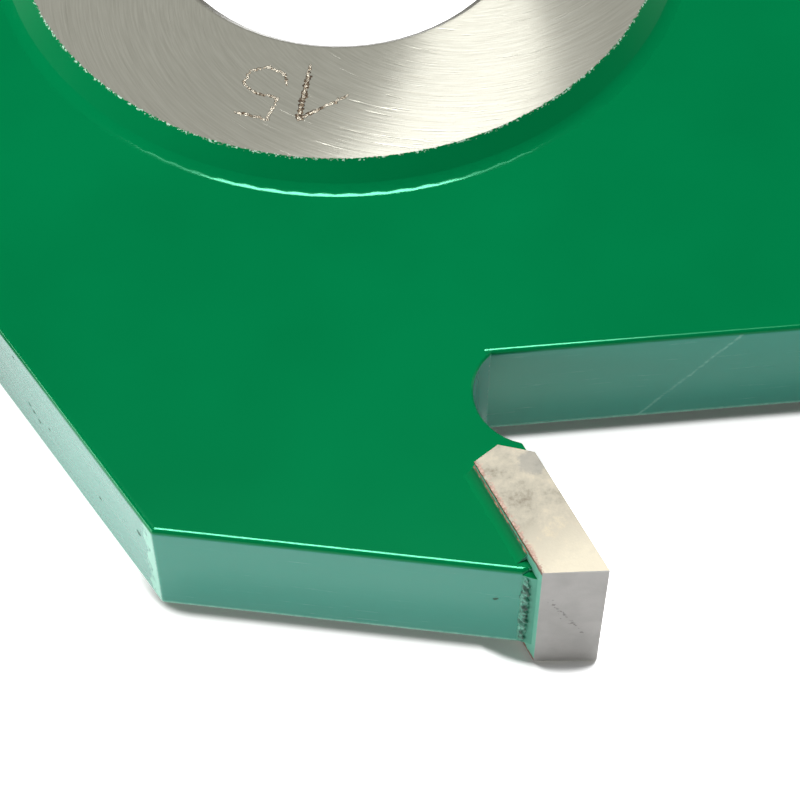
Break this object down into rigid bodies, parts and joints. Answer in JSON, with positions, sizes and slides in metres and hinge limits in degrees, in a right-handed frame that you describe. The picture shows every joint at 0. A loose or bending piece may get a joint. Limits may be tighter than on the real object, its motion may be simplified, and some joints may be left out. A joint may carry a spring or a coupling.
{
  "type": "grooving cutter",
  "caption": "Flat wide-toothed grooving cutter for wood on a plain bore, with a raised hub, chip gullets and brazed carbide tips that stand proud of the painted steel plate.",
  "frame": {"origin": "on the bore's axis, at the lower hub face, on which the cutter rests", "axes": "+Z along the bore axis, and the cutter turns counter-clockwise about it, seen from above; the first tip's cutting edge lies 72.7 degrees clockwise of +X"},
  "size_m": [0.1366, 0.134, 0.0152],
  "materials": {
    "body": "glossy green enamel over steel, with the hub faces and the bore ground bare",
    "carbide": "sintered tungsten carbide, ground on its outer face and rough on its sides",
    "braze": "dull silver solder, oxidised brown"
  },
  "bodies": {
    "root": {"cutter_body": "body", "carbide_tip_1": "carbide", "carbide_tip_2": "carbide", "carbide_tip_3": "carbide", "carbide_tip_4": "carbide", "carbide_tip_5": "carbide", "carbide_tip_6": "carbide", "braze_seam_1": "braze", "braze_seam_2": "braze", "braze_seam_3": "braze", "braze_seam_4": "braze", "braze_seam_5": "braze", "braze_seam_6": "braze"}
  },
  "joints": []
}
